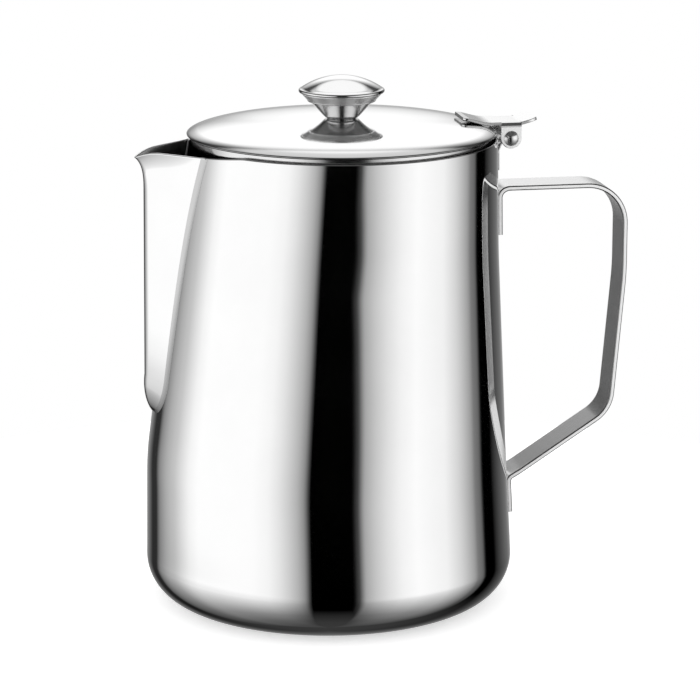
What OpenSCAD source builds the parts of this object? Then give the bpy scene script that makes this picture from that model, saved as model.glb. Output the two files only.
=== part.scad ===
/* [Body] */
// Height of the body's rim above the table
rim_h = 170.5; // [160:0.5:185]
// Radius of the body just above the rounding at the base
base_r = 67.4; // [60:0.1:75]
// Radius of the rounding between the base and the wall
corner_r = 16; // [8:0.5:22]
// Height at which the upright lower wall starts to lean in
girth_h = 54; // [35:1:70]
// Radius of the body there
girth_r = 66.1; // [58:0.1:75]
// How far the section there lies towards the spout
girth_offset = 0.8; // [0:0.1:3]
// Height at which the wall on the handle side turns upright again
neck_h = 131; // [110:1:145]
// Radius of the body there
neck_r = 59.3; // [55:0.1:66]
// How far the section there lies towards the handle
neck_shift = 2.6; // [0:0.1:5]
// Outer radius of the mouth
mouth_r = 56.4; // [50:0.1:62]
// How far the mouth lies towards the handle
mouth_shift = 4.95; // [0:0.05:8]
// Thickness of the drawn body sheet
wall = 0.8; // [0.6:0.1:1.2]

/* [Spout] */
// How far the spout's front edge stands out from the wall above its foot
spout_depth = 5; // [3:0.1:8]
// How much the front edge draws back from there to its lip
spout_setback = 0.8; // [0:0.1:2]
// How far the spout's rim lies below the body's rim
spout_rim_drop = 2.2; // [0.5:0.1:5]
// Height of the point where the spout runs out on the wall
spout_foot_h = 71.7; // [60:0.1:85]
// Height of the part of the foot that narrows to that point
spout_foot_rise = 14.3; // [10:0.1:20]
// Half width of the spout at the wall, just above its foot
spout_foot_half_w = 13.5; // [10:0.1:16]
// Half width of the spout at the wall, at its rim
spout_rim_half_w = 21.4; // [18:0.1:26]
// Radius of the spout's front edge
spout_nose_r = 6.5; // [4:0.1:8]
// Height of the flared lip
lip_h = 15; // [10:0.5:20]
// Overhang of the pouring tip
lip_reach = 3.5; // [1:0.1:6]
// How far the tip hangs below the spout's rim
lip_drop = 2.6; // [0:0.1:4]
// Length along which the rim droops to the tip
lip_drop_run = 8.5; // [5:0.5:12]
// Radius of the pouring tip, seen from above
lip_nose_r = 2; // [1.2:0.1:4]
// Thickness of the spout's sheet
spout_wall = 0.8; // [0.6:0.1:1]

/* [Handle] */
// Width of the handle strip
handle_w = 15.5; // [12:0.5:20]
// Thickness of the handle strip
handle_t = 1.8; // [1.2:0.1:2.5]
// How far the handle's top face lies below the body's rim
handle_drop = 18.4; // [16:0.1:25]
// Distance from the wall to the outer face of the grip
handle_depth = 48.6; // [40:0.1:60]
// Bend radius at the top corner, at the middle of the strip
handle_corner_r = 14.4; // [8:0.1:20]
// How far below the handle's top face the grip starts to lean in
grip_knee_drop = 34.1; // [28:0.1:45]
// Bend radius of that knee
grip_knee_r = 120; // [60:5:160]
// Angle by which the grip leans in
grip_lean = 4.9; // [0:0.1:8]
// How far the lower corner lies below the handle's top face
heel_drop = 85.7; // [75:0.1:95]
// Bend radius at the lower corner
heel_r = 13; // [6:0.5:16]
// Slope of the lower arm
arm_angle = 33.3; // [20:0.1:38]
// Bend radius of the upper tab
top_tab_r = 3.5; // [2:0.1:5]
// Bend radius of the lower tab
low_tab_r = 2.5; // [1.5:0.1:4]
// Length of the upper tab, from the handle's top face
top_tab_len = 18; // [12:0.1:26]
// Length of the lower tab, below its bend
low_tab_len = 12.9; // [8:0.1:18]

/* [Hinge] */
// Distance from the body's rim to the hinge pin, outwards
pin_stand = 4.65; // [4.2:0.05:7]
// How far the hinge pin lies below the body's rim
pin_drop = 0.9; // [0:0.1:2]
// Radius of the hinge pin
pin_r = 1.6; // [1.2:0.1:2]
// Radius of the pin's domed heads
pin_head_r = 2.75; // [2.2:0.05:3.4]
// Height of the pin's domed heads
pin_head_h = 1.3; // [0.8:0.1:2]
// Thickness of the bracket's sheet
bracket_t = 0.9; // [0.6:0.1:1.2]
// How far the bracket reaches down the wall from the body's rim
bracket_len = 12.7; // [10:0.1:15]
// How far below the body's rim the bracket bends away from the wall
bracket_bend_drop = 5.3; // [4.5:0.1:7]
// Width of the thumb plate
plate_w = 15.5; // [13:0.5:20]
// Thickness of the thumb plate
plate_t = 1.2; // [0.8:0.1:1.6]
// Length of the thumb plate in front of the pin
plate_front = 17.8; // [15:0.1:19]
// Length of the thumb plate behind the pin
plate_back = 9.6; // [7:0.1:12]
// Height of the plate's middle, centre of its sheet, above the pin
plate_rise = 5.4; // [5:0.1:7]
// How far the front end curls up above the middle
plate_front_curl = 2; // [1:0.1:3.5]
// How far the thumb end curls up above the middle
plate_back_curl = 1.5; // [0:0.1:3]
// Width of the ears that hold the pin
ear_w = 7.5; // [6.5:0.1:9]

/* [Lid] */
// How far the lid's edge lies inside the mouth's outer edge
lid_inset = 0.5; // [0:0.1:1.5]
// Gap between the body's rim and the lid's edge
lid_gap = 1.9; // [1:0.1:3]
// Thickness of the lid's sheet
lid_wall = 0.8; // [0.6:0.1:1]
// Width of the rounded shoulder round the lid
shoulder_w = 8; // [4:0.1:12]
// Height of that shoulder
shoulder_h = 1.9; // [1:0.1:2.5]
// Rise of the lid from its shoulder to its centre
dome_h = 2.6; // [1:0.1:5]
// Clearance between the mouth and the ring that plugs it
plug_clearance = 2.6; // [1.5:0.1:5]
// How far the plug ring reaches below the body's rim
plug_depth = 2.4; // [1:0.1:4]
// Width of the plug ring's turned-in foot
plug_foot_w = 6; // [3:0.1:10]
// Radius of the plug ring's lower corner
plug_corner_r = 1.8; // [1:0.1:2.4]
// Thickness of the plug ring's sheet
plug_wall = 0.7; // [0.5:0.1:1]

/* [Knob] */
// Radius of the knob at its rim
knob_r = 15.5; // [12:0.1:18]
// Height of the knob's domed top above its rim
knob_dome_h = 5.1; // [3:0.1:7]
// Height of the knob's cone, from the lid to the rim
knob_cone_h = 9.7; // [8:0.1:14]
// Height of the knob's upright rim
knob_rim_h = 0.6; // [0.4:0.1:1.5]
// Width of the lip that is folded under the cone's edge
knob_fold_w = 2.5; // [1.5:0.1:4]
// Radius of the knob's neck
knob_neck_r = 5.4; // [4.5:0.1:7]
// Thickness of the knob's sheet
knob_wall = 0.7; // [0.5:0.1:0.9]
// Radius of the knob screw
screw_r = 2; // [1.5:0.1:2.5]
// Radius of the screw's head
screw_head_r = 3.8; // [3:0.1:4.5]
// Height of the screw's head
screw_head_h = 2.2; // [1.5:0.1:2.5]
// Radius of the washer under the screw's head
washer_r = 5.5; // [4.5:0.1:7]
// Thickness of that washer
washer_t = 0.8; // [0.5:0.1:1]
// Radius of the threaded boss inside the knob
boss_r = 4; // [3.2:0.1:4.4]
// Height of that boss
boss_h = 6; // [4:0.1:7]

/* [Hidden] */

// Clearances
weld_gap = 0.05;
spout_gap = 0.12;
seat_gap = 0.05;
running_gap = 0.06;
press_gap = 0.02;
side_gap = 0.25;
screw_gap = 0.2;
thread_gap = 0.05;
overrun = 1;

// Facets of round parts, and steps of bends and sweeps
round_fn = 180;
small_fn = 48;
bend_steps = 8;
shoulder_steps = 8;
dome_steps = 8;
cap_steps = 12;
foot_rings = 7;
flank_rings = 8;
lip_rings = 7;
flank_points = 3;
nose_points = 8;

// Shares that shape the spout's outline
flank_straight_share = 0.18;
foot_nose_power = 0.75;
lip_nose_power = 1.5;
foot_start_share = 0.05;

// The opening in the wall behind the spout, and the dip of the rim beside it
opening_margin = 3.2;
opening_foot_margin = 4.5;
rim_dip_r = 235;
rim_dip = 3.1;

// Sizes and places that follow from the sizes above
spout_rim_h = rim_h - spout_rim_drop;
handle_top_h = rim_h - handle_drop;
pin_x = mouth_shift + mouth_r + pin_stand;
pin_h = rim_h - pin_drop;
lid_r = mouth_r - lid_inset;
plug_r = mouth_r - wall - plug_clearance;
lid_edge_h = rim_h + lid_gap;
lid_top_edge_h = lid_edge_h + lid_wall;
lid_apex_h = lid_top_edge_h + shoulder_h + dome_h;
knob_seat_h = lid_apex_h + seat_gap;
knob_rim_foot_h = knob_seat_h + knob_cone_h;
spout_shoulder_h = spout_foot_h + spout_foot_rise;
spout_lip_h = spout_rim_h - lip_h;

// Radius and sideways place of the body's outer wall at a height
function body_r(h) = lookup(h, [[corner_r, base_r], [girth_h, girth_r], [neck_h, neck_r], [rim_h, mouth_r]]);
function body_x(h) =
  lookup(h, [[corner_r, 0], [girth_h, -girth_offset], [neck_h, neck_shift], [rim_h, mouth_shift]]);
function wall_x(h) = body_x(h) + body_r(h);

// Height of the lid's upper face at a radius
function lid_h(r) =
  r < lid_r - shoulder_w
  ? lid_top_edge_h + shoulder_h + dome_h * (1 - pow(r / (lid_r - shoulder_w), 2))
  : lid_top_edge_h + shoulder_h * sqrt(1 - pow(1 - (lid_r - r) / shoulder_w, 2));

// Height of its lower face, which is drawn in towards the axis by the same share everywhere
lid_inner_share = 1 - lid_wall / lid_r;
function lid_under_h(r) = lid_h(r / lid_inner_share) - lid_wall;

// A bent strip: the points of a path with rounded corners, each with its direction
function unit(v) = v / norm(v);
function turned(v, a) = [v.x * cos(a) - v.y * sin(a), v.x * sin(a) + v.y * cos(a)];
function bend(a, b, c, r) =
  let (
    u = unit(b - a),
    v = unit(c - b),
    turn = atan2(cross(u, v), u * v),
    side = sign(turn),
    start = b - u * r * tan(abs(turn) / 2),
    arm = side * r * [u.y, -u.x]
  )
  [for (k = [0:bend_steps]) [start - arm + turned(arm, turn * k / bend_steps), turned(u, turn * k / bend_steps)]];
function path(points, radii) =
  let (last = len(points) - 1)
  concat(
    [[points[0], unit(points[1] - points[0])]],
    [for (i = [1:last - 1]) each bend(points[i - 1], points[i], points[i + 1], radii[i - 1])],
    [[points[last], unit(points[last] - points[last - 1])]]
  );
function beside(s, d) = s[0] + d * [-s[1].y, s[1].x];

// The outline of such a strip of sheet, seen from its side
module strip(points, radii, t) {
  samples = path(points, radii);
  n = len(samples) - 1;
  polygon(concat(
    [for (s = samples) beside(s, t / 2)],
    [for (i = [0:n]) beside(samples[n - i], -t / 2)]
  ));
}

// Turns a side view drawn in x and height into a solid of width w across the jug
module across(w) {
  rotate([90, 0, 0]) translate([0, 0, -w / 2]) linear_extrude(height = w) children();
}

// One leaning section of the body's wall, drawn in by inset on all sides
module wall_section(low, high, inset, extra) {
  rise = high - low;
  lean = (body_x(high) - body_x(low)) / rise;
  taper = (body_r(high) - body_r(low)) / rise;
  translate([body_x(low), 0, low])
    multmatrix([[1, 0, lean, 0], [0, 1, 0, 0], [0, 0, 1, 0], [0, 0, 0, 1]])
      cylinder(h = rise + extra, r1 = body_r(low) - inset, r2 = body_r(high) - inset + taper * extra,
               $fn = round_fn);
}

module body_form(inset, extra) {
  rotate_extrude($fn = round_fn) {
    translate([0, inset]) square([base_r - corner_r, corner_r - inset]);
    translate([base_r - corner_r, corner_r]) intersection() {
      circle(r = corner_r - inset, $fn = round_fn);
      translate([0, -corner_r]) square(corner_r);
    }
  }
  wall_section(corner_r, girth_h, inset, 0);
  wall_section(girth_h, neck_h, inset, 0);
  wall_section(neck_h, rim_h, inset, extra);
}

// The pouring opening in the wall, drawn across and up, then pushed out through the front
module spout_opening() {
  foot_r = spout_foot_half_w - opening_margin;
  foot_h = spout_foot_h + opening_foot_margin + foot_r;
  top_half_w = spout_rim_half_w - opening_margin;
  rotate([90, 0, -90]) linear_extrude(height = 2 * base_r) {
    translate([0, foot_h]) circle(r = foot_r, $fn = round_fn);
    polygon([[-foot_r, foot_h], [foot_r, foot_h], [top_half_w, rim_h + overrun], [-top_half_w, rim_h + overrun]]);
  }
}

// The dip of the rim on both sides of the spout
module rim_dip() {
  translate([-2 * base_r, 0, rim_h - rim_dip + rim_dip_r])
    rotate([0, 90, 0]) cylinder(h = 2 * base_r - mouth_r / 2, r = rim_dip_r, $fn = 2 * round_fn);
}

module jug_body() {
  color("gainsboro") difference() {
    body_form(0, 0);
    body_form(wall, overrun);
    spout_opening();
    rim_dip();
  }
}

// Half width of the spout at the wall: it narrows to the foot like a round, and widens upwards
function foot_fill(h) = h < spout_shoulder_h ? 1 - pow((spout_shoulder_h - h) / spout_foot_rise, 2) : 1;
function flank_rise(h) = max(0, h - spout_shoulder_h) / (spout_rim_h - spout_shoulder_h);
function seam_half_w(h) =
  let (s = flank_rise(h), widening = flank_straight_share * s + (1 - flank_straight_share) * pow(s, 3))
  sqrt(foot_fill(h)) * spout_foot_half_w + widening * (spout_rim_half_w - spout_foot_half_w);

// The spout meets the wall on this circle, a little outside the wall
function seam_r(h) = body_r(h) + spout_gap;
function seam_x(h, y) = body_x(h) - sqrt(pow(seam_r(h), 2) - y * y);

// Front edge of the spout: a lean line, flared at the lip, drawn back to the wall at the foot
function lip_share(h) = max(0, h - spout_lip_h) / lip_h;
function lean_front_x(h) = seam_x(spout_shoulder_h, 0) - spout_depth + spout_setback * flank_rise(h);
function front_x(h) =
  h < spout_shoulder_h
  ? seam_x(h, 0) + (lean_front_x(h) - seam_x(spout_shoulder_h, 0)) * pow(foot_fill(h), foot_nose_power)
  : lean_front_x(h) - lip_reach * pow(lip_share(h), 3);
function nose_r(h) = spout_nose_r + (lip_nose_r - spout_nose_r) * pow(lip_share(h), lip_nose_power);

// One level of the spout: flank points from the seam, the round nose, and the other flank.
// Each entry is a point and the direction in which the sheet faces there.
function half_level(h) =
  let (
    seam = [seam_x(h, seam_half_w(h)), seam_half_w(h)],
    centre = [front_x(h) + nose_r(h), 0],
    arm = seam - centre,
    face = atan2(arm.y, arm.x) + acos(nose_r(h) / norm(arm)),
    tangent = centre + nose_r(h) * [cos(face), sin(face)]
  )
  concat(
    [for (k = [0:flank_points - 1]) [seam + (tangent - seam) * k / flank_points, [cos(face), sin(face)]]],
    [for (k = [0:nose_points - 1])
      let (a = face + (180 - face) * k / nose_points)
      [centre + nose_r(h) * [cos(a), sin(a)], [cos(a), sin(a)]]]
  );
function mirrored(s) = [[s[0].x, -s[0].y], [s[1].x, -s[1].y]];
function level(h) =
  let (half = half_level(h), n = len(half))
  concat(half, [[[front_x(h), 0], [-1, 0]]], [for (i = [1:n]) mirrored(half[n - i])]);

// Inner face: one sheet thickness inside, but never inside the wall that it lies on
function off_wall(p, h) =
  let (d = p - [body_x(h), 0])
  norm(d) < seam_r(h) ? [body_x(h), 0] + unit(d) * seam_r(h) : p;
function inner_point(s, h) = off_wall(s[0] - spout_wall * s[1], h);

// The rim droops towards the pouring tip
function droop(x, h) =
  let (run = max(0, front_x(spout_rim_h) + lip_drop_run - x) / lip_drop_run)
  lip_drop * lip_share(h) * pow(run, 2);
function at_height(p, x, h) = [p.x, p.y, h - droop(x, h)];

function spout_levels() =
  let (first = spout_shoulder_h - spout_foot_rise * sqrt(1 - foot_start_share))
  concat(
    [for (k = [0:foot_rings - 1]) first + (spout_shoulder_h - first) * pow(k / foot_rings, 1.5)],
    [for (k = [0:flank_rings - 1]) spout_shoulder_h + (spout_lip_h - spout_shoulder_h) * k / flank_rings],
    [for (k = [0:lip_rings]) spout_lip_h + lip_h * k / lip_rings]
  );

module spout() {
  levels = spout_levels();
  n = 2 * (flank_points + nose_points) + 1;
  ring = 2 * n;
  points = [
    for (h = levels)
      let (l = level(h))
      each concat(
        [for (i = [0:n - 1]) at_height(l[i][0], l[i][0].x, h)],
        [for (i = [0:n - 1]) at_height(inner_point(l[n - 1 - i], h), l[n - 1 - i][0].x, h)]
      )
  ];
  skin = [
    for (j = [0:len(levels) - 2], i = [0:ring - 1])
      let (a = j * ring + i, b = j * ring + (i + 1) % ring)
      each [[a, b + ring, b], [a, a + ring, b + ring]]
  ];
  top = (len(levels) - 1) * ring;
  ends = [
    for (i = [0:n - 2])
      let (a = i, b = i + 1, c = ring - 2 - i, d = ring - 1 - i)
      each [[a, b, c], [a, c, d], [top + a, top + c, top + b], [top + a, top + d, top + c]]
  ];
  color("whitesmoke") polyhedron(points = points, faces = concat(skin, ends), convexity = 6);
}

// Middle of a strip of thickness t that lies on the handle side of the wall
function strip_x(h, t) = wall_x(h) + weld_gap + t / 2;

module handle() {
  run_h = handle_top_h - handle_t / 2;
  grip_x = wall_x(run_h) + handle_depth - handle_t / 2;
  knee_h = handle_top_h - grip_knee_drop;
  heel_h = handle_top_h - heel_drop;
  heel_x = grip_x - (knee_h - heel_h) * tan(grip_lean);
  toe_h = heel_h - (heel_x - strip_x(heel_h / 2, handle_t)) * tan(arm_angle);
  top_end_h = handle_top_h - top_tab_len;
  low_end_h = toe_h - low_tab_len;
  color("silver") across(handle_w) strip(
    [
      [strip_x(top_end_h, handle_t), top_end_h],
      [strip_x(run_h, handle_t), run_h],
      [grip_x, run_h],
      [grip_x, knee_h],
      [heel_x, heel_h],
      [strip_x(toe_h, handle_t), toe_h],
      [strip_x(low_end_h, handle_t), low_end_h]
    ],
    [top_tab_r, handle_corner_r, grip_knee_r, heel_r, low_tab_r],
    handle_t
  );
}

// The bracket's sheet rises from the wall and curls round the pin
knuckle_r = pin_r + running_gap + bracket_t / 2;
ear_inner_y = plate_w / 2 - plate_t;

module hinge_bracket() {
  bracket_w = 2 * (ear_inner_y - side_gap);
  foot_h = rim_h - bracket_len;
  knee_h = rim_h - bracket_bend_drop;
  foot = [strip_x(foot_h, bracket_t), foot_h];
  knee = [strip_x(knee_h, bracket_t), knee_h];
  arm = knee - [pin_x, pin_h];
  touch = atan2(arm.y, arm.x) - acos(knuckle_r / norm(arm));
  end = [pin_x, pin_h] + knuckle_r * [cos(touch), sin(touch)];
  color("silver") difference() {
    union() {
      across(bracket_w) strip([foot, knee, end], [bracket_t], bracket_t);
      pin_cylinder(knuckle_r + bracket_t / 2, bracket_w);
    }
    pin_cylinder(pin_r + running_gap, bracket_w + 2 * overrun);
  }
}

// A round part of length w on the hinge's axis
module pin_cylinder(r, w) {
  translate([pin_x, w / 2, pin_h]) rotate([90, 0, 0]) cylinder(h = w, r = r, $fn = small_fn);
}

module hinge_pin() {
  head_sphere_r = (pow(pin_head_r, 2) + pow(pin_head_h, 2)) / (2 * pin_head_h);
  color("lightgray") {
    pin_cylinder(pin_r, plate_w + 2 * seat_gap);
    for (side = [-1, 1])
      translate([pin_x, side * (plate_w / 2 + seat_gap), pin_h])
        rotate([-side * 90, 0, 0])
          intersection() {
            translate([0, 0, pin_head_h - head_sphere_r]) sphere(r = head_sphere_r, $fn = small_fn);
            cylinder(h = pin_head_h, r = pin_head_r, $fn = small_fn);
          }
  }
}

// The plate's front part lies along the lid's shoulder, and meets the level middle at a knee
module thumb_plate() {
  middle_h = pin_h + plate_rise;
  seat_r = lid_r - shoulder_w / 2;
  fall = lid_h(seat_r) - lid_h(seat_r + lid_wall);
  slope = fall / lid_wall;
  seat_x = mouth_shift + seat_r;
  seat_h = lid_h(seat_r) + plate_t / 2 + 2 * seat_gap;
  curl_x = pin_x - plate_front + plate_front_curl;
  knee_x = seat_x + (seat_h - middle_h) / slope;
  color("silver") difference() {
    union() {
      across(plate_w) strip(
        [
          [pin_x - plate_front, middle_h + plate_front_curl],
          [curl_x, seat_h + slope * (seat_x - curl_x)],
          [knee_x, middle_h],
          [pin_x + ear_w / 2, middle_h],
          [pin_x + plate_back, middle_h + plate_back_curl]
        ],
        [plate_t, plate_t, ear_w],
        plate_t
      );
      for (side = [-1, 1])
        translate([0, side * (plate_w - plate_t) / 2, 0]) across(plate_t) {
          translate([pin_x, pin_h]) circle(r = ear_w / 2, $fn = small_fn);
          translate([pin_x - ear_w / 2, pin_h]) square([ear_w, plate_rise]);
        }
    }
    pin_cylinder(pin_r + press_gap, plate_w + 2 * overrun);
  }
}

// Points of the lid's upper face, from its edge to its centre
function lid_face() = concat(
  [for (k = [0:shoulder_steps - 1])
    let (r = lid_r - shoulder_w * (1 - cos(90 * k / shoulder_steps)))
    [r, lid_h(r)]],
  [for (k = [0:dome_steps])
    let (r = (lid_r - shoulder_w) * (1 - k / dome_steps))
    [r, lid_h(r)]]
);

module lid_dome() {
  face = lid_face();
  n = len(face) - 1;
  color("whitesmoke") translate([mouth_shift, 0, 0]) difference() {
    rotate_extrude($fn = round_fn)
      polygon(concat(face, [for (i = [0:n]) [face[n - i].x * lid_inner_share, face[n - i].y - lid_wall]]));
    cylinder(h = lid_apex_h + overrun, r = screw_r + screw_gap, $fn = small_fn);
  }
}

module lid_plug_ring() {
  foot_h = rim_h - plug_depth;
  top_h = lid_under_h(plug_r) - seat_gap;
  corner = [plug_r - plug_corner_r, foot_h + plug_corner_r];
  color("gainsboro") translate([mouth_shift, 0, 0]) rotate_extrude($fn = round_fn) {
    translate([plug_r - plug_wall, corner.y]) square([plug_wall, top_h - corner.y]);
    translate([plug_r - plug_foot_w, foot_h]) square([plug_foot_w - plug_corner_r, plug_wall]);
    translate(corner) intersection() {
      difference() {
        circle(r = plug_corner_r, $fn = round_fn);
        circle(r = plug_corner_r - plug_wall, $fn = round_fn);
      }
      translate([0, -plug_corner_r]) square(plug_corner_r);
    }
  }
}

// The knob is a cone of sheet, and a domed cap whose edge is folded under the cone's edge
knob_slope = (knob_r - knob_rim_h - knob_wall - knob_neck_r) / knob_cone_h;
knob_sheet_w = knob_wall * sqrt(1 + pow(knob_slope, 2));
function cone_r(h) = knob_neck_r + knob_slope * (h - knob_seat_h);

module knob_turned() {
  translate([mouth_shift, 0, 0]) rotate_extrude($fn = round_fn) children();
}

module knob_cone() {
  floor_h = knob_seat_h + knob_wall;
  color("silver") knob_turned() polygon([
    [screw_r + screw_gap, knob_seat_h],
    [knob_neck_r, knob_seat_h],
    [cone_r(knob_rim_foot_h), knob_rim_foot_h],
    [cone_r(knob_rim_foot_h) - knob_sheet_w, knob_rim_foot_h],
    [cone_r(floor_h) - knob_sheet_w, floor_h],
    [screw_r + screw_gap, floor_h]
  ]);
}

module knob_cap() {
  rim_top_h = knob_rim_foot_h + knob_rim_h;
  sphere_r = (pow(knob_r, 2) + pow(knob_dome_h, 2)) / (2 * knob_dome_h);
  centre_h = rim_top_h + knob_dome_h - sphere_r;
  sweep = asin(knob_r / sphere_r);
  inner_r = sphere_r - knob_wall;
  inner_sweep = asin((knob_r - knob_wall) / inner_r);
  fold_foot_h = knob_rim_foot_h - knob_fold_w / sqrt(1 + pow(knob_slope, 2));
  color("whitesmoke") knob_turned() polygon(concat(
    [for (k = [0:cap_steps]) [sphere_r * sin(sweep * k / cap_steps), centre_h + sphere_r * cos(sweep * k / cap_steps)]],
    [
      [knob_r, knob_rim_foot_h],
      [cone_r(fold_foot_h) + seat_gap + knob_sheet_w, fold_foot_h],
      [cone_r(fold_foot_h) + seat_gap, fold_foot_h],
      [cone_r(knob_rim_foot_h) + seat_gap, knob_rim_foot_h],
      [cone_r(knob_rim_foot_h) + seat_gap, knob_rim_foot_h + seat_gap],
      [knob_r - knob_wall, knob_rim_foot_h + seat_gap]
    ],
    [for (k = [0:cap_steps])
      let (a = inner_sweep * (1 - k / cap_steps))
      [inner_r * sin(a), centre_h + inner_r * cos(a)]]
  ));
}

module knob_boss() {
  low_h = knob_seat_h + knob_wall + seat_gap;
  color("darkgray") translate([mouth_shift, 0, low_h]) difference() {
    cylinder(h = boss_h, r = boss_r, $fn = small_fn);
    translate([0, 0, -overrun]) cylinder(h = boss_h + 2 * overrun, r = screw_r + thread_gap, $fn = small_fn);
  }
}

washer_top_h = lid_apex_h - lid_wall - 2 * seat_gap;

module knob_washer() {
  color("darkgray") translate([mouth_shift, 0, washer_top_h - washer_t]) difference() {
    cylinder(h = washer_t, r = washer_r, $fn = small_fn);
    translate([0, 0, -overrun]) cylinder(h = washer_t + 2 * overrun, r = screw_r + screw_gap, $fn = small_fn);
  }
}

module knob_screw() {
  head_top_h = washer_top_h - washer_t - seat_gap;
  shank_h = knob_seat_h + knob_wall + boss_h - head_top_h;
  color("darkgray") translate([mouth_shift, 0, head_top_h]) {
    cylinder(h = shank_h, r = screw_r, $fn = small_fn);
    translate([0, 0, -screw_head_h]) cylinder(h = screw_head_h, r = screw_head_r, $fn = small_fn);
  }
}

jug_body();
spout();
handle();
hinge_bracket();
hinge_pin();
thumb_plate();
lid_dome();
lid_plug_ring();
knob_cap();
knob_cone();
knob_boss();
knob_washer();
knob_screw();
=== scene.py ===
import math

import bmesh
import bpy
import numpy as np
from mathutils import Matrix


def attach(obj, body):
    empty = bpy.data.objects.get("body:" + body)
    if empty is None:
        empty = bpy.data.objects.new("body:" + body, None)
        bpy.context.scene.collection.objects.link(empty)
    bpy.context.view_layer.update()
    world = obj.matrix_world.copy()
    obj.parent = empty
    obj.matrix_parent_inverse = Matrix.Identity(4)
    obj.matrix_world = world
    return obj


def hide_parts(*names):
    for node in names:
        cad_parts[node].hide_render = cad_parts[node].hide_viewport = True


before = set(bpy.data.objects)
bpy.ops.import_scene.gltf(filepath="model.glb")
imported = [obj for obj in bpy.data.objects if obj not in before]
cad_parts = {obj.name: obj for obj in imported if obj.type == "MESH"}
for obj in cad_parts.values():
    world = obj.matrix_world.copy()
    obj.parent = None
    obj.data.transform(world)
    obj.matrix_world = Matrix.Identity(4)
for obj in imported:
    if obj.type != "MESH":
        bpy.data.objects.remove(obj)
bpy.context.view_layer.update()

MM = 0.001
TAU = 2 * math.pi


# Camera
CAMERA_TURN = -10.3
CAMERA_PITCH = 13.496
CAMERA_PLACE = (-0.1961, -1.1232, 0.36552)
CAMERA_LENS = 164.64
CAMERA_SENSOR = 36
CAMERA_NEAR = 0.05
CAMERA_FAR = 20

cam_data = bpy.data.cameras.new("view_camera")
cam_data.sensor_width = CAMERA_SENSOR
cam_data.lens = CAMERA_LENS
cam_data.clip_start = CAMERA_NEAR
cam_data.clip_end = CAMERA_FAR
camera = bpy.data.objects.new("view_camera", cam_data)
camera.location = CAMERA_PLACE
camera.rotation_euler = (math.radians(90 - CAMERA_PITCH), 0, math.radians(CAMERA_TURN))
bpy.context.scene.collection.objects.link(camera)
bpy.context.scene.camera = camera
bpy.context.scene.view_settings.view_transform = "Standard"


# Sizes of the body in millimetres, as in the solids. Knots are (height, value)
FLAT_H = 4
CORNER_R = 16.0
BASE_R = 67.4
GIRTH_H = 54
GIRTH_R = 66.1
GIRTH_X = -0.8
NECK_H = 131
NECK_R = 59.3
NECK_X = 2.6
RIM_H = 170.5
MOUTH_R = 56.4
MOUTH_X = 4.95
WALL = 0.8
RADIUS_AT = ((CORNER_R, BASE_R), (GIRTH_H, GIRTH_R), (NECK_H, NECK_R), (RIM_H, MOUTH_R))
SHIFT_AT = ((FLAT_H, 0), (CORNER_R, 0), (GIRTH_H, GIRTH_X), (NECK_H, NECK_X), (RIM_H, MOUTH_X))
GIRTH_EASE = 7.0

# Sizes of the opening behind the spout and of the dip in the rim above it
DIP_R = 235.0
DIP = 3.1
OPEN_FOOT_H = 86.5
OPEN_FOOT_R = 10.3
OPEN_TOP_H = RIM_H + 1
OPEN_TOP_HALF = 18.2

# Sizes of the hinge that several pieces share
PIN_X = 66.0
PIN_H = 169.6
PIN_R = 1.6
PLATE_W = 15.5
PLATE_T = 1.2


def eased(h, knots, ease):
    """A line through the knots, with each corner rounded over a span of ease on both sides."""
    hs = [k[0] for k in knots]
    vs = [k[1] for k in knots]
    slopes = [(vs[i + 1] - vs[i]) / (hs[i + 1] - hs[i]) for i in range(len(hs) - 1)]
    for i in range(1, len(hs) - 1):
        d = h - hs[i]
        if abs(d) < ease:
            s0, s1 = slopes[i - 1], slopes[i]
            return vs[i] + (s0 + s1) / 2 * d + (s1 - s0) / (4 * ease) * (d * d + ease * ease)
    i = max(0, min(len(slopes) - 1, int(np.searchsorted(hs, h)) - 1))
    return vs[i] + slopes[i] * (h - hs[i])


def body_r(h):
    return eased(h, RADIUS_AT, GIRTH_EASE)


def body_x(h):
    return eased(h, SHIFT_AT, GIRTH_EASE)


def wall_x(h):
    return body_x(h) + body_r(h)


# Mesh helpers. Edges past a sharp angle in degrees stay sharp in the shading
BODY_SHARP = 60
SHEET_SHARP = 50
STRIP_SHARP = 40
MERGE_REACH = 1e-7
ON_AXIS = 1e-6


def new_piece(name, verts, faces, body, node, material, angle):
    """A closed mesh in metres from points in millimetres, riding on a body. Edges past angle are sharp."""
    mesh = bpy.data.meshes.new(name)
    mesh.from_pydata([tuple(c * MM for c in v) for v in verts], [], faces)
    bm = bmesh.new()
    bm.from_mesh(mesh)
    bmesh.ops.remove_doubles(bm, verts=bm.verts, dist=MERGE_REACH)
    bmesh.ops.recalc_face_normals(bm, faces=bm.faces)
    bm.to_mesh(mesh)
    bm.free()
    mesh.validate()
    mesh.polygons.foreach_set("use_smooth", [True] * len(mesh.polygons))
    mesh.set_sharp_from_angle(angle=math.radians(angle))
    piece = bpy.data.objects.new(name, mesh)
    bpy.context.scene.collection.objects.link(piece)
    piece.data.materials.append(material)
    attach(piece, body)
    if node:
        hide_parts(*node)
    return piece


def dress(piece, materials, pick):
    """Adds materials to a piece. pick(centre in millimetres, normal) gives the number for each face."""
    for material in materials:
        piece.data.materials.append(material)
    marks = [pick(p.center / MM, p.normal) for p in piece.data.polygons]
    piece.data.polygons.foreach_set("material_index", marks)


def weighted(piece):
    """Keeps wide faces flat in the shading next to their rounded edges."""
    mod = piece.modifiers.new("weighted", "WEIGHTED_NORMAL")
    mod.keep_sharp = True
    mod.weight = 100


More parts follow.
